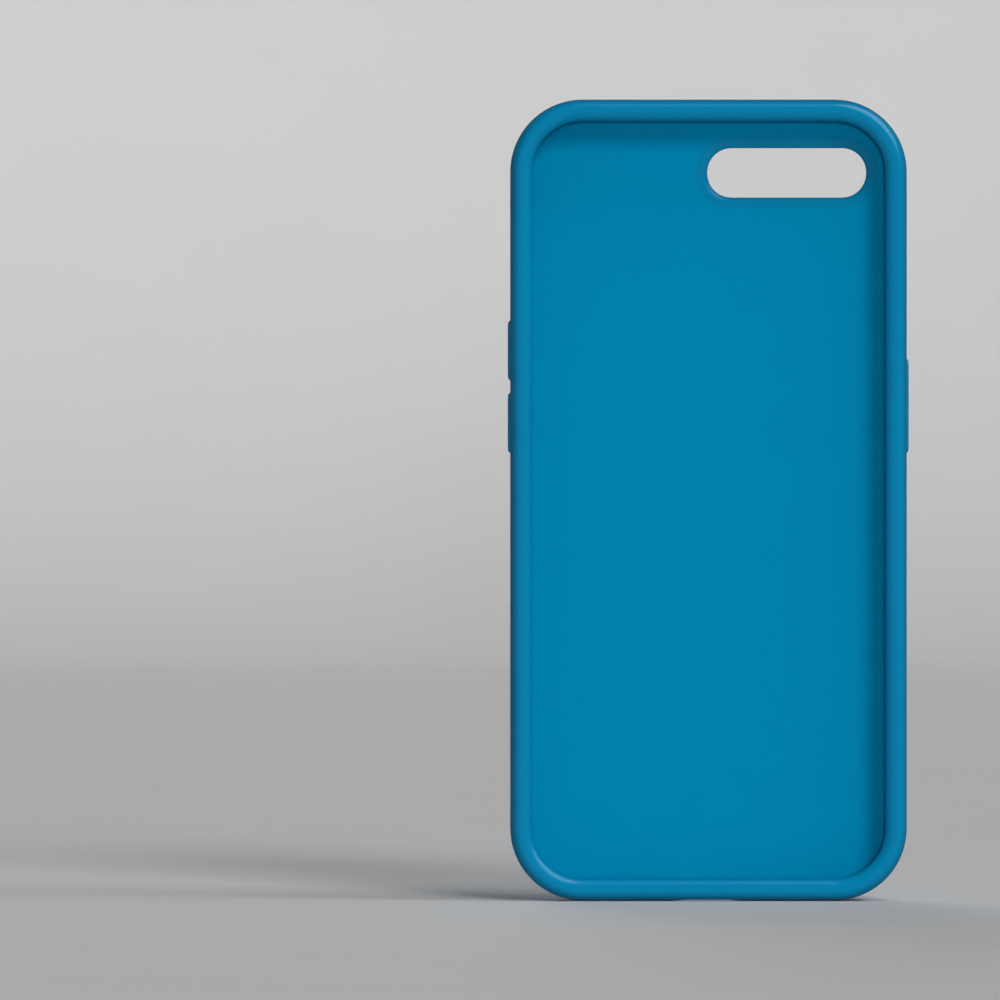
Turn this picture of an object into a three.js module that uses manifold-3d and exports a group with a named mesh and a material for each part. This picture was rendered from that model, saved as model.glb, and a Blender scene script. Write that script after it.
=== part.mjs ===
// A soft protective case for a large smartphone: a silicone jacket over a stiff polycarbonate tray,
// lined with microfibre, with three press buttons let into its side walls.
//
// Units are millimetres. The case stands upright on its bottom wall, +Z towards its top. Its open
// front faces -Y. The origin is the centre of the seat that the phone's back rests on.
import * as THREE from "three";
import { mergeVertices } from "three/addons/utils/BufferGeometryUtils.js";
import Module from "manifold-3d";

const wasm = await Module();
wasm.setup();

// Driving dimensions.
const CASE = { width: 81.6, height: 164.8, radius: 14.9 };
const CASE_DEPTH = 11.8;
const EDGE_ROUNDING = 2.1;
const SKIN_THICKNESS = 0.9;
const WALL_TRAY = 0.55;
const BACK_TRAY = 0.65;
const LINING_THICKNESS = 0.3;
const BOND_LINE = 0.05;

// The bead of silicone that runs round the mouth and holds the phone in.
const BEAD = { bottom: 9.8, inner: 4.5, crown: 2.3, crownWidth: 0.3, bulge: 1.9, shoulder: 3.9 };

// Layers of the wall, as insets from the outer side face.
const TRAY_OUTSIDE = SKIN_THICKNESS + BOND_LINE;
const TRAY_INSIDE = TRAY_OUTSIDE + WALL_TRAY;
const WALL_LINING_OUTSIDE = TRAY_INSIDE + BOND_LINE;
const WALL_LINING_INSIDE = WALL_LINING_OUTSIDE + LINING_THICKNESS;

// Layers of the back, as depths from the outer back face.
const TRAY_BACK = SKIN_THICKNESS + BOND_LINE;
const TRAY_FLOOR = TRAY_BACK + BACK_TRAY;
const BACK_LINING_UNDERSIDE = TRAY_FLOOR + BOND_LINE;
const SEAT = BACK_LINING_UNDERSIDE + LINING_THICKNESS;

const TRAY_TOP = BEAD.bottom - 0.1;
const WALL_LINING_TOP = BEAD.bottom - 0.2;
const CORNER_RELIEF = 0.4;

// Openings. Each outline is the clear hole. The flare is the rounding of its edge, and the collar is
// how far the silicone that lines the hole spreads over the tray's window.
const HOLE_DEPTH = 5.6;
const CAMERA_HOLE = { width: 32.8, height: 10.2, radius: 5 };
const CAMERA_FLARE = 1.8;
const CAMERA_COLLAR = 2.1;
const CAMERA_CENTRE = { fromSide: 24.5, fromTop: 14.85 };
const PORT = { width: 13.6, height: 7.2, radius: 3 };
const PORT_FLARE = 1.2;
const SPEAKER = { width: 12, height: 2.2, radius: 1.05 };
const SPEAKER_X = 17;
const SPEAKER_FLARE = 0.4;
const SWITCH = { width: 4, height: 8.4, radius: 1.9 };
const SWITCH_Z = 47.2;
const SWITCH_FLARE = 0.6;
const WALL_COLLAR = 0.6;

// Buttons: the cap stands out of the side face, and a flange on the plate behind it holds it in.
const BUTTON_WIDTH = 3.4;
const BUTTON_RADIUS = 1.5;
const BUTTON_HEIGHT = 0.5;
const BUTTONS = [
  { name: "volume_up", side: -1, z: 30.8, length: 12.3 },
  { name: "volume_down", side: -1, z: 15.9, length: 12.4 },
  { name: "power", side: 1, z: 19.4, length: 19.3 },
];
const SLOT_CLEARANCE = 0.25;
const FLANGE_OVERHANG = 0.9;
const FLANGE_CLEARANCE = 0.3;
const FLANGE = { top: 0.6, bottom: 0.88 };
const POCKET_TOP = 0.55;
const RIB = { shorter: 3, width: 1.8, radius: 0.8, bottom: 1.42 };
const PAD = { top: 0.92, bottom: 1.5, inFromFlange: 0.2, clearOfRib: 0.35 };
const RIB_CLEARANCE = 0.4;

const CASE_SEGMENTS = 4;
const SMALL_SEGMENTS = 3;
const CUT_PAST = 1;

const SILICONE = { color: 0x007da9, roughness: 0.62, metalness: 0 };
const POLYCARBONATE = { color: 0x0a5f80, roughness: 0.4, metalness: 0 };
const MICROFIBRE = { color: 0x0a7ca6, roughness: 0.95, metalness: 0 };
const GEL = { color: 0x3a4650, roughness: 0.7, metalness: 0 };

function roundedRectangle({ width, height, radius }) {
  const x = width / 2 - radius;
  const y = height / 2 - radius;
  const quarter = Math.PI / 2;
  return new THREE.Shape()
    .absarc(x, y, radius, 0, quarter)
    .absarc(-x, y, radius, quarter, 2 * quarter)
    .absarc(-x, -y, radius, 2 * quarter, 3 * quarter)
    .absarc(x, -y, radius, 3 * quarter, 4 * quarter);
}

// A solid whose section is the outline moved inwards by a varying inset. The profile lists
// [inset, depth] pairs, and depth runs along the solid's own +Z.
function loft(outline, profile, segments = SMALL_SEGMENTS) {
  const layers = profile.length - 1;
  const geometry = new THREE.ExtrudeGeometry(roundedRectangle(outline), {
    depth: layers,
    steps: layers,
    bevelEnabled: false,
    curveSegments: segments,
  });
  const position = geometry.getAttribute("position");
  const point = new THREE.Vector3();
  for (let i = 0; i < position.count; i++) {
    point.fromBufferAttribute(position, i);
    const [inset, depth] = profile[Math.round(point.z)];
    const scale = (outline.radius - inset) / outline.radius;
    const centreX = Math.sign(point.x) * (outline.width / 2 - outline.radius);
    const centreY = Math.sign(point.y) * (outline.height / 2 - outline.radius);
    position.setXYZ(
      i,
      centreX + (point.x - centreX) * scale,
      centreY + (point.y - centreY) * scale,
      depth,
    );
  }
  return geometry;
}

function solid(geometry, place) {
  geometry.deleteAttribute("normal");
  geometry.deleteAttribute("uv");
  if (place) {
    place.updateMatrix();
    geometry.applyMatrix4(place.matrix);
  }
  const merged = mergeVertices(geometry, 1e-4);
  return new wasm.Manifold(
    new wasm.Mesh({
      numProp: 3,
      vertProperties: merged.getAttribute("position").array,
      triVerts: new Uint32Array(merged.index.array),
    }),
  );
}

function namedMesh(name, body, look) {
  const { vertProperties, triVerts } = body.getMesh();
  const geometry = new THREE.BufferGeometry()
    .setAttribute("position", new THREE.BufferAttribute(vertProperties, 3))
    .setIndex(new THREE.BufferAttribute(triVerts, 1));
  geometry.computeVertexNormals();
  const mesh = new THREE.Mesh(geometry, new THREE.MeshStandardMaterial(look));
  mesh.name = name;
  return mesh;
}

function grown({ width, height, radius }, by) {
  return { width: width + 2 * by, height: height + 2 * by, radius: radius + by };
}

function straight(top, bottom) {
  return [
    [0, top],
    [0, bottom],
  ];
}

// A layer of the tray shape: a floor at one depth, walls at one inset, and the edge between them
// rounded about the same centre line as the outer edge.
function layerProfile(inset, floor, top, steps) {
  const profile = [];
  for (let i = 0; i <= steps; i++) {
    const angle = (i / steps) * (Math.PI / 2);
    profile.push([
      EDGE_ROUNDING - (EDGE_ROUNDING - inset) * Math.sin(angle),
      EDGE_ROUNDING - (EDGE_ROUNDING - floor) * Math.cos(angle),
    ]);
  }
  profile.push([inset, top]);
  return profile;
}

// The back edge is rounded, and the front edge is a deeper, oval shoulder up to the bead's crown.
function outerProfile() {
  const steps = 4;
  const shoulderSteps = 6;
  const width = BEAD.crown - BEAD.crownWidth;
  const profile = layerProfile(0, 0, CASE_DEPTH - BEAD.shoulder, steps);
  for (let i = 1; i <= shoulderSteps; i++) {
    const angle = (i / shoulderSteps) * (Math.PI / 2);
    profile.push([
      width * (1 - Math.cos(angle)),
      CASE_DEPTH - BEAD.shoulder * (1 - Math.sin(angle)),
    ]);
  }
  return profile;
}

function mouthProfile() {
  const steps = 6;
  const profile = [[BEAD.inner, BEAD.bottom - CUT_PAST]];
  for (let i = 0; i <= steps; i++) {
    const angle = (i / steps) * (Math.PI / 2);
    profile.push([
      BEAD.crown + (BEAD.inner - BEAD.crown) * Math.cos(angle),
      CASE_DEPTH - BEAD.bulge * (1 - Math.sin(angle)),
    ]);
  }
  profile.push([BEAD.crown, CASE_DEPTH + CUT_PAST]);
  return profile;
}

// A hole whose outer edge is rounded, and whose inner end runs on past the wall.
function flaredProfile(flare, bottom) {
  const steps = 3;
  const profile = [[-flare, -CUT_PAST]];
  for (let i = 0; i <= steps; i++) {
    const angle = (i / steps) * (Math.PI / 2);
    profile.push([flare * (Math.sin(angle) - 1), flare * (1 - Math.cos(angle))]);
  }
  profile.push([0, bottom]);
  return profile;
}

// The camera hole's edge is one full bead from the back face to the seat.
function cameraProfile() {
  const steps = 6;
  const profile = [[-CAMERA_FLARE, -CUT_PAST]];
  for (let i = 0; i <= steps; i++) {
    const angle = (i / steps) * Math.PI;
    profile.push([CAMERA_FLARE * (Math.sin(angle) - 1), (SEAT / 2) * (1 - Math.cos(angle))]);
  }
  profile.push([-CAMERA_FLARE, SEAT + CUT_PAST]);
  return profile;
}

// Places on the walls. In each, +Z runs inwards from the wall's outer face.
function onSideWall(side, z) {
  const place = new THREE.Group();
  place.position.set((side * CASE.width) / 2, z, HOLE_DEPTH);
  place.rotation.y = (-side * Math.PI) / 2;
  return place;
}

function onBottomWall(x) {
  const place = new THREE.Group();
  place.position.set(x, -CASE.height / 2, HOLE_DEPTH);
  place.rotation.x = -Math.PI / 2;
  return place;
}

function onBack(x, z) {
  const place = new THREE.Group();
  place.position.set(x, z, 0);
  return place;
}

function wallOpening(place, outline, flare) {
  return {
    place,
    outline,
    collar: WALL_COLLAR,
    collarEnd: WALL_LINING_INSIDE,
    cut: flaredProfile(flare, WALL_LINING_INSIDE + CUT_PAST),
  };
}

function cameraOpening() {
  const x = CASE.width / 2 - CAMERA_CENTRE.fromSide;
  const z = CASE.height / 2 - CAMERA_CENTRE.fromTop;
  return {
    place: onBack(x, z),
    outline: CAMERA_HOLE,
    collar: CAMERA_COLLAR,
    collarEnd: SEAT,
    cut: cameraProfile(),
  };
}

const openings = [
  cameraOpening(),
  wallOpening(onBottomWall(0), PORT, PORT_FLARE),
  wallOpening(onBottomWall(-SPEAKER_X), SPEAKER, SPEAKER_FLARE),
  wallOpening(onBottomWall(SPEAKER_X), SPEAKER, SPEAKER_FLARE),
  wallOpening(onSideWall(-1, SWITCH_Z), SWITCH, SWITCH_FLARE),
];

// Outlines of a button's pieces, in its own place on the side wall.
function buttonOutlines({ length }) {
  const cap = { width: BUTTON_WIDTH, height: length, radius: BUTTON_RADIUS };
  const flange = grown(cap, FLANGE_OVERHANG);
  const rib = { width: RIB.width, height: length - RIB.shorter, radius: RIB.radius };
  return {
    cap,
    flange,
    rib,
    slot: grown(cap, SLOT_CLEARANCE),
    pocket: grown(flange, FLANGE_CLEARANCE),
    ribWindow: grown(rib, RIB_CLEARANCE),
    padOutside: grown(flange, -PAD.inFromFlange),
    padInside: grown(rib, PAD.clearOfRib),
  };
}

const buttons = BUTTONS.map((button) => ({
  ...button,
  place: onSideWall(button.side, button.z),
  outlines: buttonOutlines(button),
}));

// The silicone jacket: back, walls and bead in one moulding, with a collar round each opening.
function outerSkin() {
  const hollow = layerProfile(SKIN_THICKNESS, SKIN_THICKNESS, BEAD.bottom, 3);
  let body = solid(loft(CASE, outerProfile(), CASE_SEGMENTS))
    .subtract(solid(loft(CASE, hollow, CASE_SEGMENTS)))
    .subtract(solid(loft(CASE, mouthProfile(), CASE_SEGMENTS)));
  for (const { place, outline, collar, collarEnd, cut } of openings) {
    const ring = straight(SKIN_THICKNESS / 2, collarEnd);
    body = body
      .add(solid(loft(grown(outline, collar), ring), place))
      .subtract(solid(loft(outline, cut), place));
  }
  for (const { place, outlines } of buttons) {
    body = body
      .subtract(solid(loft(outlines.slot, straight(-CUT_PAST, SKIN_THICKNESS + CUT_PAST)), place))
      .subtract(solid(loft(outlines.pocket, straight(POCKET_TOP, TRAY_OUTSIDE)), place));
  }
  return body;
}

function withWindows(body, buttonWindow, clearance) {
  let cut = body;
  for (const { place, outline, collar, collarEnd } of openings) {
    const window = grown(outline, collar + clearance);
    cut = cut.subtract(solid(loft(window, straight(-CUT_PAST, collarEnd + CUT_PAST)), place));
  }
  for (const { place, outlines } of buttons) {
    const depth = straight(-CUT_PAST, WALL_LINING_INSIDE + CUT_PAST);
    cut = cut.subtract(solid(loft(outlines[buttonWindow], depth), place));
  }
  return cut;
}

// The stiff tray inside the jacket.
function innerTray() {
  const outside = layerProfile(TRAY_OUTSIDE, TRAY_BACK, TRAY_TOP, 3);
  const inside = layerProfile(TRAY_INSIDE, TRAY_FLOOR, TRAY_TOP + CUT_PAST, 3);
  const body = solid(loft(CASE, outside, CASE_SEGMENTS)).subtract(
    solid(loft(CASE, inside, CASE_SEGMENTS)),
  );
  return withWindows(body, "pocket", 0.15);
}

function backLining() {
  const sheet = [
    [EDGE_ROUNDING, BACK_LINING_UNDERSIDE],
    [EDGE_ROUNDING, SEAT],
  ];
  return withWindows(solid(loft(CASE, sheet, CASE_SEGMENTS)), "ribWindow", 0.1);
}

// One side's share of the wall lining: the ring is parted at the middle of each corner.
function wallLining(side) {
  const outside = [
    [WALL_LINING_OUTSIDE, EDGE_ROUNDING],
    [WALL_LINING_OUTSIDE, WALL_LINING_TOP],
  ];
  const inside = [
    [WALL_LINING_INSIDE, EDGE_ROUNDING - CUT_PAST],
    [WALL_LINING_INSIDE, WALL_LINING_TOP + CUT_PAST],
  ];
  const ring = solid(loft(CASE, outside, CASE_SEGMENTS)).subtract(
    solid(loft(CASE, inside, CASE_SEGMENTS)),
  );
  const cornerX = CASE.width / 2 - CASE.radius;
  const cornerY = CASE.height / 2 - CASE.radius;
  const reach = CASE.radius + CUT_PAST;
  const near = new THREE.Vector2(cornerX, cornerY);
  const far = new THREE.Vector2(cornerX + reach, cornerY + reach);
  const step = side.x === 0 ? new THREE.Vector2(-1, 0) : new THREE.Vector2(0, -1);
  near.addScaledVector(step, CORNER_RELIEF);
  far.addScaledVector(step, CORNER_RELIEF);
  const mirrored = ({ x, y }) => (side.x === 0 ? [-x, y] : [x, -y]);
  const wedge = new THREE.Shape(
    [near.toArray(), far.toArray(), mirrored(far), mirrored(near)].map(
      ([x, y]) => new THREE.Vector2(side.x === 0 ? x : x * side.x, side.x === 0 ? y * side.y : y),
    ),
  );
  const share = new THREE.ExtrudeGeometry(wedge, { depth: CASE_DEPTH, bevelEnabled: false });
  return withWindows(ring.intersect(solid(share)), "ribWindow", 0.1);
}

function buttonCap({ outlines }) {
  return solid(
    loft(outlines.cap, [
      [0.62, -BUTTON_HEIGHT],
      [0.25, -0.44],
      [0.06, -0.26],
      [0, 0],
      [0, FLANGE.top - BOND_LINE],
    ]),
  );
}

// The stiff plate behind a cap: its flange catches in the jacket's pocket, and its rib reaches
// through the linings to the phone's own key.
function keyPlate({ outlines }) {
  const flange = solid(loft(outlines.flange, straight(FLANGE.top, FLANGE.bottom)));
  const rib = solid(loft(outlines.rib, straight(FLANGE.top + 0.1, RIB.bottom)));
  return flange.add(rib);
}

// The soft ring that pushes the plate back out.
function returnPad({ outlines }) {
  const outside = solid(loft(outlines.padOutside, straight(PAD.top, PAD.bottom)));
  const inside = straight(PAD.top - CUT_PAST, PAD.bottom + CUT_PAST);
  return outside.subtract(solid(loft(outlines.padInside, inside)));
}

// The port takes the whole height of the bottom wall's lining, so that lining is two pieces.
const [bottomLeftLining, bottomRightLining] = wallLining({ x: 0, y: -1 })
  .decompose()
  .sort((a, b) => a.boundingBox().min[0] - b.boundingBox().min[0]);

const phoneCase = new THREE.Group();
phoneCase.rotation.x = Math.PI / 2;
phoneCase.position.y = SEAT;

phoneCase.add(
  namedMesh("outer_skin", outerSkin(), SILICONE),
  namedMesh("inner_tray", innerTray(), POLYCARBONATE),
  namedMesh("back_lining", backLining(), MICROFIBRE),
  namedMesh("left_wall_lining", wallLining({ x: -1, y: 0 }), MICROFIBRE),
  namedMesh("right_wall_lining", wallLining({ x: 1, y: 0 }), MICROFIBRE),
  namedMesh("top_wall_lining", wallLining({ x: 0, y: 1 }), MICROFIBRE),
  namedMesh("bottom_left_wall_lining", bottomLeftLining, MICROFIBRE),
  namedMesh("bottom_right_wall_lining", bottomRightLining, MICROFIBRE),
);

for (const button of buttons) {
  button.place.add(
    namedMesh(`${button.name}_button_cap`, buttonCap(button), SILICONE),
    namedMesh(`${button.name}_key_plate`, keyPlate(button), POLYCARBONATE),
    namedMesh(`${button.name}_return_pad`, returnPad(button), GEL),
  );
  phoneCase.add(button.place);
}

export default phoneCase;
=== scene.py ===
"""A soft silicone phone case: its looks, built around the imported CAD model.

Shapes are drawn in millimetres in the case's own plan: across, up, and depth from the outer back
face towards the open front. PLAN turns that into the frame's metres. The studio is in metres.

An outline is a rounded rectangle: width, height, corner radius. A profile is a list of points, each
an inset from the outline and a depth.
"""

import math

import bmesh
import bpy
from mathutils import Matrix, Vector


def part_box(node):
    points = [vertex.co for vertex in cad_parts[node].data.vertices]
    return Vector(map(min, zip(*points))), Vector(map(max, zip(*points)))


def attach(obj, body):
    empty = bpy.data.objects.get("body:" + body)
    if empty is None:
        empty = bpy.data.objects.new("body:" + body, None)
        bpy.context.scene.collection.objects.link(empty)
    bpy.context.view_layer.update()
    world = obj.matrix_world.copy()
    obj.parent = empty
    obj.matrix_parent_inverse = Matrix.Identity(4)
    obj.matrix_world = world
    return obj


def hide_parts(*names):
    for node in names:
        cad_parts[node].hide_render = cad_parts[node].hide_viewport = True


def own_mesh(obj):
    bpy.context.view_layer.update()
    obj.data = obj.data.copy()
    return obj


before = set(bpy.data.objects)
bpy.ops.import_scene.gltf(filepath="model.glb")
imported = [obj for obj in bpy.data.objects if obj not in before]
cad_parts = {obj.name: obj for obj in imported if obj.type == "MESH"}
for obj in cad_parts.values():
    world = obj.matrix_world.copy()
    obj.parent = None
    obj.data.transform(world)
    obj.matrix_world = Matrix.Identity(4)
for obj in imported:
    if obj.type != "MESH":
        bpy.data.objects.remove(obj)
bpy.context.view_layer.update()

MM = 0.001
QUARTER = math.pi / 2

# ---------------------------------------------------------------- sizes, in millimetres

skin_low, skin_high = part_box("outer_skin")
tray_low, tray_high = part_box("inner_tray")
seat_low, seat_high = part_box("back_lining")
wall_low, wall_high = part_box("left_wall_lining")

CASE_WIDTH = (skin_high.x - skin_low.x) / MM
CASE_HEIGHT = (skin_high.z - skin_low.z) / MM
CASE_DEPTH = (skin_high.y - skin_low.y) / MM
CASE_RADIUS = 14.9
CASE = (CASE_WIDTH, CASE_HEIGHT, CASE_RADIUS)
EDGE_ROUNDING = 2.1
SKIN = 0.9
BOND = 0.05
TRAY_WALL = 0.55
SEAT_EDGE = 0.12
CORNER_RELIEF = 0.4

# Where each layer lies: its inset from the case's outline, or its depth.
TRAY_OUTSIDE = (tray_low.x - skin_low.x) / MM
TRAY_INSIDE = TRAY_OUTSIDE + TRAY_WALL
TRAY_BACK = (skin_high.y - tray_high.y) / MM
TRAY_TOP = (skin_high.y - tray_low.y) / MM
LINING_UNDERSIDE = (skin_high.y - seat_high.y) / MM
SEAT = (skin_high.y - seat_low.y) / MM
TRAY_FLOOR = LINING_UNDERSIDE - BOND
WALL_LINING_OUTSIDE = (wall_low.x - skin_low.x) / MM
WALL_LINING_INSIDE = WALL_LINING_OUTSIDE + (SEAT - LINING_UNDERSIDE)
WALL_LINING_FOOT = (skin_high.y - wall_high.y) / MM
WALL_LINING_TOP = (skin_high.y - wall_low.y) / MM

# The bead round the mouth. Its crown lies between the insets OUTER and CROWN, its inner edge at the
# inset INNER, and its underside at the depth BOTTOM. From the crown the outer slope falls by
# SHOULDER, and the inner slope by BULGE.
BEAD_BOTTOM = 9.8
BEAD_INNER = 4.5
BEAD_CROWN = 2.3
BEAD_OUTER = 2.0
BEAD_SHOULDER = 3.9
BEAD_BULGE = 1.9

# The openings: outlines and places, the flare that rounds each one's edge, the silicone collar round
# it, and the clearance that the layers behind the silicone leave.
HOLE_CENTRE_DEPTH = 5.6
CAMERA_HOLE = (32.8, 10.2, 5.0)
CAMERA_FROM_SIDE = 24.5
CAMERA_FROM_TOP = 14.85
CAMERA_CENTRE = (CASE_WIDTH / 2 - CAMERA_FROM_SIDE, CASE_HEIGHT / 2 - CAMERA_FROM_TOP)
CAMERA_FLARE = 1.8
CAMERA_COLLAR = 2.1
PORT = (13.6, 7.2, 3.0)
PORT_FLARE = 1.2
SPEAKER = (12.0, 2.2, 1.05)
SPEAKER_X = 17.0
SPEAKER_FLARE = 0.4
SWITCH = (4.0, 8.4, 1.9)
SWITCH_Z = 47.2
SWITCH_FLARE = 0.6
WALL_COLLAR = 0.6
TRAY_CLEARANCE = 0.15
LINING_CLEARANCE = 0.02

# The buttons, each on the left wall, -1, or the right wall, 1.
BUTTON_SIDES = {"volume_up": -1, "volume_down": -1, "power": 1}
BUTTON_RADIUS = 1.5
SLOT_CLEARANCE = 0.25
SLOT_EDGE = 0.15
FLANGE_OVERHANG = 0.9
FLANGE_CLEARANCE = 0.3
POCKET_TOP = 0.55
CAP_FOOT = 0.55
CAP_ROUNDING_IN_WALL = 0.1
CAP_CROWN = 0.05
CAP_CROWN_INSET = 1.35
RIB_WIDTH = 1.8
RIB_SHORTER_THAN_CAP = 3.0
RIB_RADIUS = 0.8
RIB_CLEARANCE = 0.4
PAD_TOP, PAD_BOTTOM = 0.92, 1.5
PAD_IN_FROM_FLANGE = 0.2
PAD_CLEAR_OF_RIB = 0.35
PAD_BULGE = 0.06

CUT_PAST = 1.0
CASE_STEPS = 24
SMALL_STEPS = 10
ROUND_STEPS = 12
SHARP_ANGLE = math.radians(38)
SLIVER = 0.001

PLAN = (
    Matrix.Translation((0, skin_high.y, 0)) @ Matrix.Rotation(QUARTER, 4, "X") @ Matrix.Scale(MM, 4)
)


# ---------------------------------------------------------------- shapes


def grown(outline, by):
    width, height, radius = outline
    return (width + 2 * by, height + 2 * by, radius + by)


def straight(top, bottom):
    """The profile of a solid with straight sides."""
    return [(0, top), (0, bottom)]


def quarter_turns(steps):
    return [QUARTER * i / steps for i in range(steps + 1)]


def ring_of(outline, inset, depth, steps):
    """One closed section: the rounded rectangle moved inwards by the inset."""
    width, height, radius = outline
    points = []
    for corner in range(4):
        centre_x = (width / 2 - radius) * (1 if corner in (0, 3) else -1)
        centre_y = (height / 2 - radius) * (1 if corner in (0, 1) else -1)
        for turn in quarter_turns(steps):
            angle = corner * QUARTER + turn
            reach = radius - inset
            x = centre_x + reach * math.cos(angle)
            y = centre_y + reach * math.sin(angle)
            points.append(Vector((x, y, depth)))
    return points


def loft(name, outline, profile, place=PLAN, steps=SMALL_STEPS):
    """A closed solid through the (inset, depth) pairs of the profile."""
    shape = bmesh.new()
    rings = []
    for inset, depth in profile:
        points = ring_of(outline, inset, depth, steps)
        rings.append([shape.verts.new(place @ point) for point in points])
    for low, high in zip(rings, rings[1:]):
        for i in range(len(low)):
            j = (i + 1) % len(low)
            shape.faces.new((low[i], low[j], high[j], high[i]))
    shape.faces.new(rings[0])
    shape.faces.new(rings[-1])
    bmesh.ops.recalc_face_normals(shape, faces=shape.faces)
    return object_from(name, shape)


def object_from(name, shape):
    mesh = bpy.data.meshes.new(name)
    shape.to_mesh(mesh)
    shape.free()
    made = bpy.data.objects.new(name, mesh)
    bpy.context.scene.collection.objects.link(made)
    return made


def combine(target, tool, operation):
    """Joins the tool to the target, cuts it away or keeps what they share, and removes the tool."""
    modifier = target.modifiers.new(operation, "BOOLEAN")
    modifier.object = tool
    modifier.operation = operation
    modifier.solver = "MANIFOLD"
    bpy.context.view_layer.objects.active = target
    bpy.ops.object.modifier_apply(modifier=modifier.name)
    bpy.data.objects.remove(tool)


def cut(target, tool):
    combine(target, tool, "DIFFERENCE")


def clean(piece):
    """Removes the slivers that the cuts leave."""
    shape = bmesh.new()
    shape.from_mesh(piece.data)
    bmesh.ops.dissolve_degenerate(shape, dist=SLIVER * MM, edges=shape.edges)
    shape.to_mesh(piece.data)
    shape.free()


def smooth(piece):
    """Smooth shading that keeps crease lines, with flat faces kept flat."""
    piece.data.shade_smooth()
    piece.data.set_sharp_from_angle(angle=SHARP_ANGLE)
    weighted = piece.modifiers.new("weighted_normals", "WEIGHTED_NORMAL")
    weighted.keep_sharp = True


def tray_profile(inset, floor, top):
    """A floor and walls, whose rounded edge has the same centre line as the case's outer edge."""
    profile = [
        (
            EDGE_ROUNDING - (EDGE_ROUNDING - inset) * math.sin(turn),
            EDGE_ROUNDING - (EDGE_ROUNDING - floor) * math.cos(turn),
        )
        for turn in quarter_turns(ROUND_STEPS)
    ]
    return profile + [(inset, top)]


def jacket_profile():
    """The jacket's outside, up to the crown of the bead."""
    profile = tray_profile(0, 0, CASE_DEPTH - BEAD_SHOULDER)
    for turn in quarter_turns(ROUND_STEPS)[1:]:
        inset = BEAD_OUTER * (1 - math.cos(turn))
        profile.append((inset, CASE_DEPTH - BEAD_SHOULDER * (1 - math.sin(turn))))
    return profile


def mouth_profile():
    """The hole that makes the mouth, whose sides are the bead's inner slope."""
    profile = [(BEAD_INNER, BEAD_BOTTOM - CUT_PAST)]
    for turn in quarter_turns(ROUND_STEPS):
        inset = BEAD_CROWN + (BEAD_INNER - BEAD_CROWN) * math.cos(turn)
        profile.append((inset, CASE_DEPTH - BEAD_BULGE * (1 - math.sin(turn))))
    return profile + [(BEAD_CROWN, CASE_DEPTH + CUT_PAST)]


def flared_profile(flare, bottom):
    """A hole whose outer edge is rounded."""
    profile = [(-flare, -CUT_PAST)]
    for turn in quarter_turns(ROUND_STEPS):
        profile.append((flare * (math.sin(turn) - 1), flare * (1 - math.cos(turn))))
    return profile + [(0, bottom)]


def camera_profile():
    """A hole whose edge is one full bead from the back face to the seat."""
    profile = [(-CAMERA_FLARE, -CUT_PAST)]
    for turn in quarter_turns(2 * ROUND_STEPS):
        inset = CAMERA_FLARE * (math.sin(2 * turn) - 1)
        profile.append((inset, SEAT / 2 * (1 - math.cos(2 * turn))))
    return profile + [(-CAMERA_FLARE, SEAT + CUT_PAST)]


# ---------------------------------------------------------------- places and openings


def on_side_wall(side, height, depth=HOLE_CENTRE_DEPTH):
    """On a side wall's outer face, with depth running into the wall."""
    turn = Matrix.Rotation(-side * QUARTER, 4, "Y")
    return PLAN @ Matrix.Translation((side * CASE_WIDTH / 2, height, depth)) @ turn


def on_bottom_wall(across):
    turn = Matrix.Rotation(-QUARTER, 4, "X")
    return PLAN @ Matrix.Translation((across, -CASE_HEIGHT / 2, HOLE_CENTRE_DEPTH)) @ turn


def wall_opening(place, outline, flare):
    return {
        "place": place,
        "outline": outline,
        "collar": WALL_COLLAR,
        "end": WALL_LINING_INSIDE,
        "hole": flared_profile(flare, WALL_LINING_INSIDE + CUT_PAST),
    }


OPENINGS = [
    {
        "place": PLAN @ Matrix.Translation((*CAMERA_CENTRE, 0)),
        "outline": CAMERA_HOLE,
        "collar": CAMERA_COLLAR,
        "end": SEAT,
        "hole": camera_profile(),
    },
    wall_opening(on_bottom_wall(0), PORT, PORT_FLARE),
    wall_opening(on_bottom_wall(-SPEAKER_X), SPEAKER, SPEAKER_FLARE),
    wall_opening(on_bottom_wall(SPEAKER_X), SPEAKER, SPEAKER_FLARE),
    wall_opening(on_side_wall(-1, SWITCH_Z), SWITCH, SWITCH_FLARE),
]


def button_of(name, side):
    """A button's place and outlines, from its CAD cap."""
    low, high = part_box(name + "_button_cap")
    width = (high.y - low.y) / MM
    length = (high.z - low.z) / MM
    centre = (low + high) / 2
    stands_out = (high.x - skin_high.x) if side > 0 else (skin_low.x - low.x)
    cap = (width, length, BUTTON_RADIUS)
    rib = (RIB_WIDTH, length - RIB_SHORTER_THAN_CAP, RIB_RADIUS)
    flange = grown(cap, FLANGE_OVERHANG)
    return {
        "name": name,
        "place": on_side_wall(side, centre.z / MM, (skin_high.y - centre.y) / MM),
        "stands_out": stands_out / MM,
        "cap": cap,
        "rib": rib,
        "flange": flange,
        "pocket": grown(flange, FLANGE_CLEARANCE),
        "rib_window": grown(rib, RIB_CLEARANCE),
    }


BUTTONS = [button_of(name, side) for name, side in BUTTON_SIDES.items()]


def cut_windows(piece, button_window, clearance):
    """Cuts a layer clear of the collars round the openings, and of the buttons' inner parts."""
    for opening in OPENINGS:
        window = grown(opening["outline"], opening["collar"] + clearance)
        profile = straight(-CUT_PAST, opening["end"] + CUT_PAST)
        cut(piece, loft("window", window, profile, opening["place"]))
    for button in BUTTONS:
        profile = straight(-CUT_PAST, WALL_LINING_INSIDE + CUT_PAST)
        cut(piece, loft("window", button[button_window], profile, button["place"]))


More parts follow.
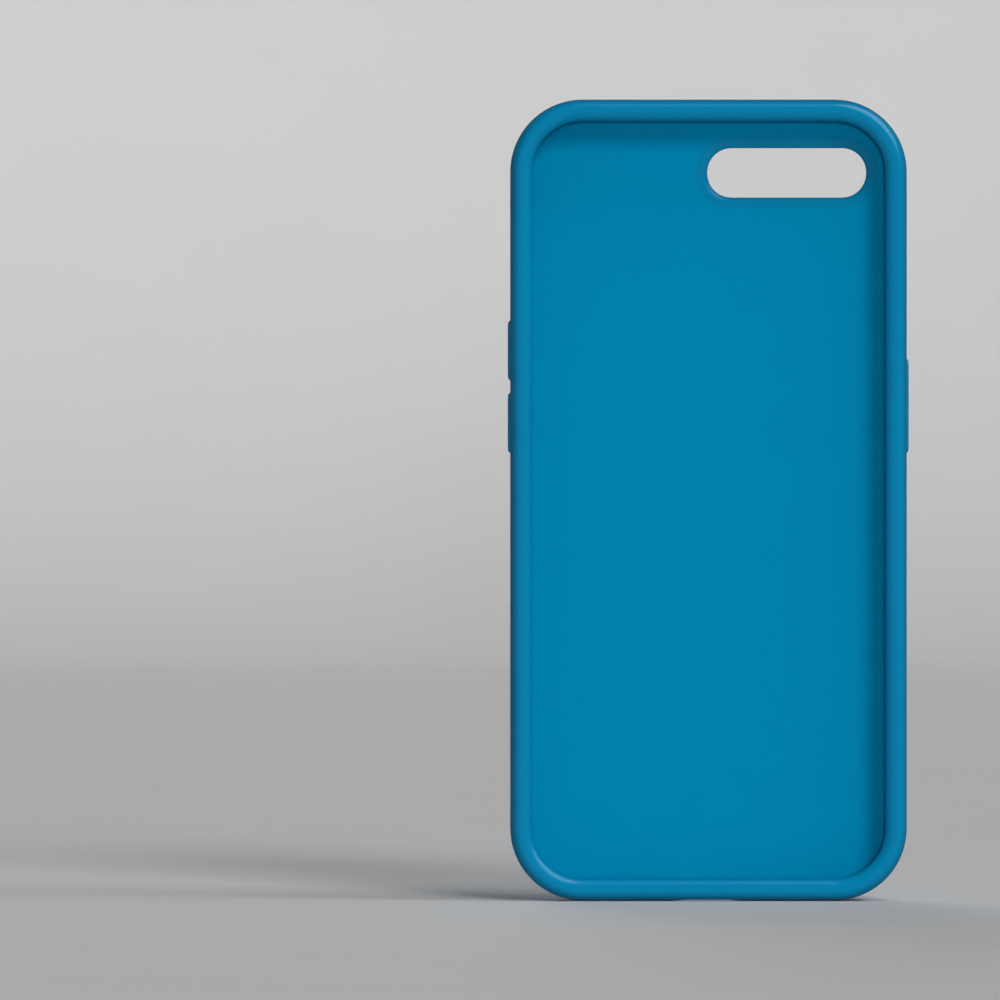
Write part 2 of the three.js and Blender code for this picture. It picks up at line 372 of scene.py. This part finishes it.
# ---------------------------------------------------------------- materials

BLACK = (0, 0, 0)
WHITE = (1, 1, 1)


class Look:
    """A Principled material whose texture nodes are added one at a time."""

    def __init__(self, name, roughness, specular, sheen=0.0, sheen_roughness=0.5):
        self.material = bpy.data.materials.new(name)
        self.material.use_nodes = True
        self.nodes = self.material.node_tree.nodes
        self.links = self.material.node_tree.links
        self.shader = self.nodes["Principled BSDF"]
        self.shader.inputs["Roughness"].default_value = roughness
        self.shader.inputs["Specular IOR Level"].default_value = specular
        self.shader.inputs["Sheen Weight"].default_value = sheen
        self.shader.inputs["Sheen Roughness"].default_value = sheen_roughness
        self.place = self.nodes.new("ShaderNodeTexCoord").outputs["Object"]

    def noise(self, size, detail=2.0, stretch=(1, 1, 1)):
        """Noise whose grain is about the given size in millimetres."""
        mapping = self.nodes.new("ShaderNodeMapping")
        mapping.inputs["Scale"].default_value = stretch
        self.links.new(self.place, mapping.inputs["Vector"])
        texture = self.nodes.new("ShaderNodeTexNoise")
        texture.inputs["Scale"].default_value = 1 / (size * MM)
        texture.inputs["Detail"].default_value = detail
        self.links.new(mapping.outputs["Vector"], texture.inputs["Vector"])
        return texture.outputs["Fac"]

    def ramp(self, source, stops):
        """A blend between two colours, each with its place on the source's scale."""
        node = self.nodes.new("ShaderNodeValToRGB")
        for element, (position, colour) in zip(node.color_ramp.elements, stops):
            element.position = position
            element.color = (*colour, 1)
        self.links.new(source, node.inputs["Fac"])
        return node.outputs["Color"]

    def mix(self, amount, first, second):
        """A mix of two colours by a fixed share, or by a mask."""
        node = self.nodes.new("ShaderNodeMix")
        node.data_type = "RGBA"
        if isinstance(amount, float):
            node.inputs["Factor"].default_value = amount
        else:
            self.links.new(amount, node.inputs["Factor"])
        self.links.new(first, node.inputs["A"])
        self.links.new(second, node.inputs["B"])
        return node.outputs["Result"]

    def colour(self, source):
        self.links.new(source, self.shader.inputs["Base Color"])

    def vary_roughness(self, source, low, high):
        """Roughness that follows the source from one value to the other."""
        span = self.nodes.new("ShaderNodeMapRange")
        span.inputs["To Min"].default_value = low
        span.inputs["To Max"].default_value = high
        self.links.new(source, span.inputs["Value"])
        self.links.new(span.outputs["Result"], self.shader.inputs["Roughness"])

    def bump(self, source, depth):
        """Relief of the given depth in millimetres."""
        relief = self.nodes.new("ShaderNodeBump")
        relief.inputs["Strength"].default_value = 1.0
        relief.inputs["Distance"].default_value = depth * MM
        self.links.new(source, relief.inputs["Height"])
        self.links.new(relief.outputs["Normal"], self.shader.inputs["Normal"])


def silicone_look():
    """Satin silicone with a fine grain, faint clouds and a few specks of dust."""
    look = Look("silicone", roughness=0.24, specular=0.28)
    clouds = look.noise(size=35, detail=3)
    base = look.ramp(clouds, [(0.3, (0.0, 0.206, 0.4)), (0.7, (0.0, 0.218, 0.418))])
    specks = look.ramp(look.noise(size=0.55), [(0.76, BLACK), (0.8, WHITE)])
    dusty = look.ramp(clouds, [(0.0, (0.015, 0.224, 0.41)), (1.0, (0.018, 0.228, 0.416))])
    look.colour(look.mix(specks, base, dusty))
    look.vary_roughness(look.noise(size=6, detail=3), low=0.21, high=0.26)
    look.bump(look.noise(size=0.35, detail=3), depth=0.012)
    return look.material


def microfibre_look():
    """Soft cloth with a short nap, brushed into patches."""
    look = Look("microfibre", roughness=0.95, specular=0.03, sheen=0.03, sheen_roughness=0.4)
    nap = look.noise(size=0.3, detail=4, stretch=(1, 1, 0.35))
    patches = look.noise(size=9, detail=4)
    base = look.ramp(nap, [(0.3, (0.0, 0.217, 0.411)), (0.7, (0.0, 0.254, 0.464))])
    brushed = look.ramp(patches, [(0.3, (0.0, 0.229, 0.431)), (0.7, (0.0, 0.242, 0.447))])
    look.colour(look.mix(0.5, base, brushed))
    look.vary_roughness(patches, low=0.9, high=1.0)
    look.bump(nap, depth=0.03)
    return look.material


def polycarbonate_look():
    """Stiff satin plastic with flow marks along its length."""
    look = Look("polycarbonate", roughness=0.4, specular=0.5)
    flow = look.noise(size=20, detail=3, stretch=(1, 1, 0.3))
    look.colour(look.ramp(flow, [(0.3, (0.002, 0.108, 0.2)), (0.7, (0.004, 0.122, 0.232))]))
    grain = look.noise(size=0.2)
    look.vary_roughness(grain, low=0.36, high=0.46)
    look.bump(grain, depth=0.005)
    return look.material


def gel_look():
    """Dark, slightly cloudy gel."""
    look = Look("gel", roughness=0.55, specular=0.5)
    cloud = look.noise(size=3, detail=3)
    look.colour(look.ramp(cloud, [(0.3, (0.036, 0.052, 0.07)), (0.7, (0.05, 0.07, 0.092))]))
    look.vary_roughness(cloud, low=0.5, high=0.6)
    look.bump(look.noise(size=0.15), depth=0.004)
    return look.material


LOOKS = {
    "silicone": silicone_look(),
    "polycarbonate": polycarbonate_look(),
    "microfibre": microfibre_look(),
    "gel": gel_look(),
}


def finish_piece(piece, slot, body, *nodes):
    """Gives a piece its look, and puts it on its body in place of its CAD nodes."""
    clean(piece)
    smooth(piece)
    piece.data.materials.clear()
    piece.data.materials.append(LOOKS[slot])
    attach(piece, body)
    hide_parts(*nodes)


# ---------------------------------------------------------------- pieces


def make_jacket():
    """The silicone jacket: back, walls, bead, collars and slots."""
    jacket = loft("silicone_jacket", CASE, jacket_profile(), steps=CASE_STEPS)
    hollow = tray_profile(SKIN, SKIN, BEAD_BOTTOM)
    cut(jacket, loft("hollow", CASE, hollow, steps=CASE_STEPS))
    cut(jacket, loft("mouth", CASE, mouth_profile(), steps=CASE_STEPS))
    for opening in OPENINGS:
        place = opening["place"]
        collar = grown(opening["outline"], opening["collar"])
        ring = loft("collar", collar, straight(SKIN / 2, opening["end"]), place)
        combine(jacket, ring, "UNION")
        cut(jacket, loft("hole", opening["outline"], opening["hole"], place))
    for button in BUTTONS:
        place = button["place"]
        slot = grown(button["cap"], SLOT_CLEARANCE)
        cut(jacket, loft("slot", slot, flared_profile(SLOT_EDGE, SKIN + CUT_PAST), place))
        cut(jacket, loft("pocket", button["pocket"], straight(POCKET_TOP, TRAY_OUTSIDE), place))
    finish_piece(jacket, "silicone", "case", "outer_skin")


def make_tray():
    """The stiff tray inside the jacket."""
    outside = tray_profile(TRAY_OUTSIDE, TRAY_BACK, TRAY_TOP)
    inside = tray_profile(TRAY_INSIDE, TRAY_FLOOR, TRAY_TOP + CUT_PAST)
    tray = loft("stiff_tray", CASE, outside, steps=CASE_STEPS)
    cut(tray, loft("inside", CASE, inside, steps=CASE_STEPS))
    cut_windows(tray, "pocket", TRAY_CLEARANCE)
    finish_piece(tray, "polycarbonate", "case", "inner_tray")


def make_seat_lining():
    """The sheet of cloth on the tray's floor, with a softened edge."""
    profile = [
        (EDGE_ROUNDING + SEAT_EDGE, LINING_UNDERSIDE),
        (EDGE_ROUNDING, LINING_UNDERSIDE + SEAT_EDGE),
    ]
    for turn in quarter_turns(ROUND_STEPS):
        inset = EDGE_ROUNDING + SEAT_EDGE * (1 - math.cos(turn))
        profile.append((inset, SEAT - SEAT_EDGE * (1 - math.sin(turn))))
    lining = loft("seat_lining", CASE, profile, steps=CASE_STEPS)
    cut_windows(lining, "rib_window", LINING_CLEARANCE)
    finish_piece(lining, "microfibre", "case", "back_lining")


def wedge(name, across, up):
    """The part of the plan nearest to one wall, parted from its neighbours at the corners.

    The wall is the one at -1 or 1 across, or where that is 0, at -1 or 1 up.
    """
    near = Vector((CASE_WIDTH / 2 - CASE_RADIUS, CASE_HEIGHT / 2 - CASE_RADIUS))
    far = near + Vector((CASE_RADIUS + CUT_PAST, CASE_RADIUS + CUT_PAST))
    relief = Vector((0, CORNER_RELIEF)) if across else Vector((CORNER_RELIEF, 0))
    near -= relief
    far -= relief
    if across:
        corners = [near, far, Vector((far.x, -far.y)), Vector((near.x, -near.y))]
        corners = [Vector((point.x * across, point.y)) for point in corners]
    else:
        corners = [near, far, Vector((-far.x, far.y)), Vector((-near.x, near.y))]
        corners = [Vector((point.x, point.y * up)) for point in corners]
    shape = bmesh.new()
    rings = [
        [shape.verts.new(PLAN @ Vector((*point, depth))) for point in corners]
        for depth in (0, CASE_DEPTH)
    ]
    for i in range(4):
        j = (i + 1) % 4
        shape.faces.new((rings[0][i], rings[0][j], rings[1][j], rings[1][i]))
    for ring in rings:
        shape.faces.new(ring)
    bmesh.ops.recalc_face_normals(shape, faces=shape.faces)
    return object_from(name, shape)


def make_wall_lining(name, across, up):
    """The strip of cloth on one wall's inner face."""
    outside = [(WALL_LINING_OUTSIDE, WALL_LINING_FOOT), (WALL_LINING_OUTSIDE, WALL_LINING_TOP)]
    inside = [
        (WALL_LINING_INSIDE, WALL_LINING_FOOT - CUT_PAST),
        (WALL_LINING_INSIDE, WALL_LINING_TOP + CUT_PAST),
    ]
    lining = loft(name, CASE, outside, steps=CASE_STEPS)
    cut(lining, loft("inside", CASE, inside, steps=CASE_STEPS))
    combine(lining, wedge("share", across, up), "INTERSECT")
    cut_windows(lining, "rib_window", LINING_CLEARANCE)
    return lining


def keep_half(piece, name, side):
    """A copy of the piece with only what lies on one side of the middle."""
    half = piece.copy()
    half.data = piece.data.copy()
    half.name = name
    bpy.context.scene.collection.objects.link(half)
    shape = bmesh.new()
    shape.from_mesh(half.data)
    away = [vert for vert in shape.verts if vert.co.x * side < 0]
    bmesh.ops.delete(shape, geom=away, context="VERTS")
    shape.to_mesh(half.data)
    shape.free()
    return half


def make_wall_linings():
    """Five strips: the port's collar parts the bottom wall's lining in two."""
    for wall, across, up in (("left", -1, 0), ("right", 1, 0), ("top", 0, 1)):
        lining = make_wall_lining(wall + "_wall_strip", across, up)
        finish_piece(lining, "microfibre", "case", wall + "_wall_lining")
    bottom = make_wall_lining("bottom_wall_strip", 0, -1)
    for half, side in (("bottom_left", -1), ("bottom_right", 1)):
        lining = keep_half(bottom, half + "_wall_strip", side)
        finish_piece(lining, "microfibre", "case", half + "_wall_lining")
    bpy.data.objects.remove(bottom)


def make_cap(button):
    """A raised cap with a softly rounded, slightly crowned face."""
    stands_out = button["stands_out"]
    rounding = stands_out + CAP_ROUNDING_IN_WALL
    profile = [(CAP_CROWN_INSET, -stands_out)]
    for turn in quarter_turns(ROUND_STEPS):
        inset = rounding * (1 - math.sin(turn))
        depth = CAP_CROWN - stands_out + (rounding - CAP_CROWN) * (1 - math.cos(turn))
        profile.append((inset, depth))
    profile.append((0, CAP_FOOT))
    cap = loft(button["name"] + "_cap", button["cap"], profile, button["place"])
    body = button["name"] + "_button"
    finish_piece(cap, "silicone", body, body + "_cap")


def make_pad(button):
    """The gel ring behind a button, with a mesh of its own."""
    name = button["name"]
    outside = grown(button["flange"], -PAD_IN_FROM_FLANGE)
    inside = grown(button["rib"], PAD_CLEAR_OF_RIB)
    profile = []
    for turn in quarter_turns(SMALL_STEPS):
        share = (1 - math.cos(2 * turn)) / 2
        depth = PAD_TOP + (PAD_BOTTOM - PAD_TOP) * share
        profile.append((PAD_BULGE * (1 - math.sin(2 * turn)), depth))
    pad = loft(name + "_gel_pad", outside, profile, button["place"])
    through = straight(PAD_TOP - CUT_PAST, PAD_BOTTOM + CUT_PAST)
    cut(pad, loft("hole", inside, through, button["place"]))
    finish_piece(pad, "gel", "case", name + "_return_pad")
    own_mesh(pad)


def dress_key_plate(button):
    """Gives the CAD's own plate the plastic's material."""
    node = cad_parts[button["name"] + "_key_plate"]
    node.data.materials.clear()
    node.data.materials.append(LOOKS["polycarbonate"])


make_jacket()
make_tray()
make_seat_lining()
make_wall_linings()
for each in BUTTONS:
    make_cap(each)
    make_pad(each)
    dress_key_plate(each)


# ---------------------------------------------------------------- studio, in metres

# Each sun: the direction it shines from, its strength as a share of plain white, its softness in
# degrees, and whether it lights the surface or gleams on it.
SUNS = {
    "key": ((0.42, -1.0, 0.54), 0.42, 20, "light"),
    "front": ((0.0, -1.0, 0.02), 0.27, 4, "light"),
    "top": ((0.25, -0.3, 0.95), 0.18, 24, "light"),
    "corner": ((0.7, -0.22, 0.7), 0.19, 24, "light"),
    "rear": ((-0.3, 1.0, 0.2), 0.62, 40, "light"),
    "softbox": ((0.58, -0.2, 0.79), 0.85, 62, "gleam"),
}
FILL_STRENGTH = 0.04

# The floor is round, and sweeps up at its rim. It lies just below the case, so that the two don't meet.
FLOOR_TONE = 0.6
FLOOR_MOTTLE = 0.004
FLOOR_GAP = 0.00005
FLOOR_MIDDLE = 0.4
FLOOR_SIDES = 96
SWEEP_START = 2.8
SWEEP_RADIUS = 0.65
SWEEP_ANGLE = math.radians(75)
SWEEP_STEPS = 24

# At the case the view is FRAME_WIDTH wide, with its middle FRAME_OFFSET to the left of the case's.
CAMERA_DISTANCE = 2.0
CAMERA_REACH = 20
FRAME_WIDTH = 0.206
FRAME_OFFSET = 0.0429
SENSOR = 36.0


def circle_of(reach, rise):
    """Points all round the floor's middle."""
    turns = [math.tau * i / FLOOR_SIDES for i in range(FLOOR_SIDES)]
    return [(reach * math.cos(turn), reach * math.sin(turn), rise) for turn in turns]


def make_floor():
    """A round floor whose rim sweeps up, so that no edge shows behind the object."""
    profile = [(FLOOR_MIDDLE, 0.0), (SWEEP_START, 0.0)]
    for i in range(1, SWEEP_STEPS + 1):
        angle = SWEEP_ANGLE * i / SWEEP_STEPS
        reach = SWEEP_START + SWEEP_RADIUS * math.sin(angle)
        profile.append((reach, SWEEP_RADIUS * (1 - math.cos(angle))))
    shape = bmesh.new()
    centre = shape.verts.new((0, 0, 0))
    rings = [[shape.verts.new(point) for point in circle_of(*section)] for section in profile]
    for i in range(FLOOR_SIDES):
        j = (i + 1) % FLOOR_SIDES
        shape.faces.new((centre, rings[0][i], rings[0][j]))
        for low, high in zip(rings, rings[1:]):
            shape.faces.new((low[i], high[i], high[j], low[j]))
    floor = object_from("floor", shape)
    floor.location.z = skin_low.z - FLOOR_GAP
    floor.data.shade_smooth()
    floor.visible_shadow = False
    floor.visible_glossy = False
    look = Look("pale_floor", roughness=0.9, specular=0.1)
    mottle = look.noise(size=60, detail=3)
    low, high = FLOOR_TONE - FLOOR_MOTTLE, FLOOR_TONE + FLOOR_MOTTLE
    look.colour(look.ramp(mottle, [(0.3, (low, low, low)), (0.7, (high, high, high))]))
    floor.data.materials.append(look.material)


def make_lights():
    """The suns, each seen only by what it is for: the surface's colour, or its gloss."""
    for name, (source, share, softness, kind) in SUNS.items():
        sun = bpy.data.lights.new(name, "SUN")
        sun.energy = math.pi * share
        sun.angle = math.radians(softness)
        lamp = bpy.data.objects.new(name, sun)
        lamp.rotation_mode = "QUATERNION"
        lamp.rotation_quaternion = Vector(source).to_track_quat("Z", "Y")
        lamp.visible_diffuse = kind == "light"
        lamp.visible_glossy = kind == "gleam"
        bpy.context.scene.collection.objects.link(lamp)


def make_world():
    """A weak even fill from all round."""
    world = bpy.data.worlds.new("studio")
    bpy.context.scene.world = world
    world.use_nodes = True
    fill = world.node_tree.nodes["Background"]
    fill.inputs["Color"].default_value = (1, 1, 1, 1)
    fill.inputs["Strength"].default_value = FILL_STRENGTH


def make_camera():
    """A long lens, square on to the open front, with the case to the right of the middle."""
    data = bpy.data.cameras.new("camera")
    data.sensor_width = SENSOR
    data.lens = SENSOR * CAMERA_DISTANCE / FRAME_WIDTH
    data.clip_end = CAMERA_REACH
    camera = bpy.data.objects.new("camera", data)
    middle = (skin_low + skin_high) / 2
    camera.location = (middle.x - FRAME_OFFSET, middle.y - CAMERA_DISTANCE, middle.z)
    camera.rotation_euler = (QUARTER, 0, 0)
    bpy.context.scene.collection.objects.link(camera)
    bpy.context.scene.camera = camera


make_floor()
make_lights()
make_world()
make_camera()
bpy.context.scene.view_settings.view_transform = "Standard"
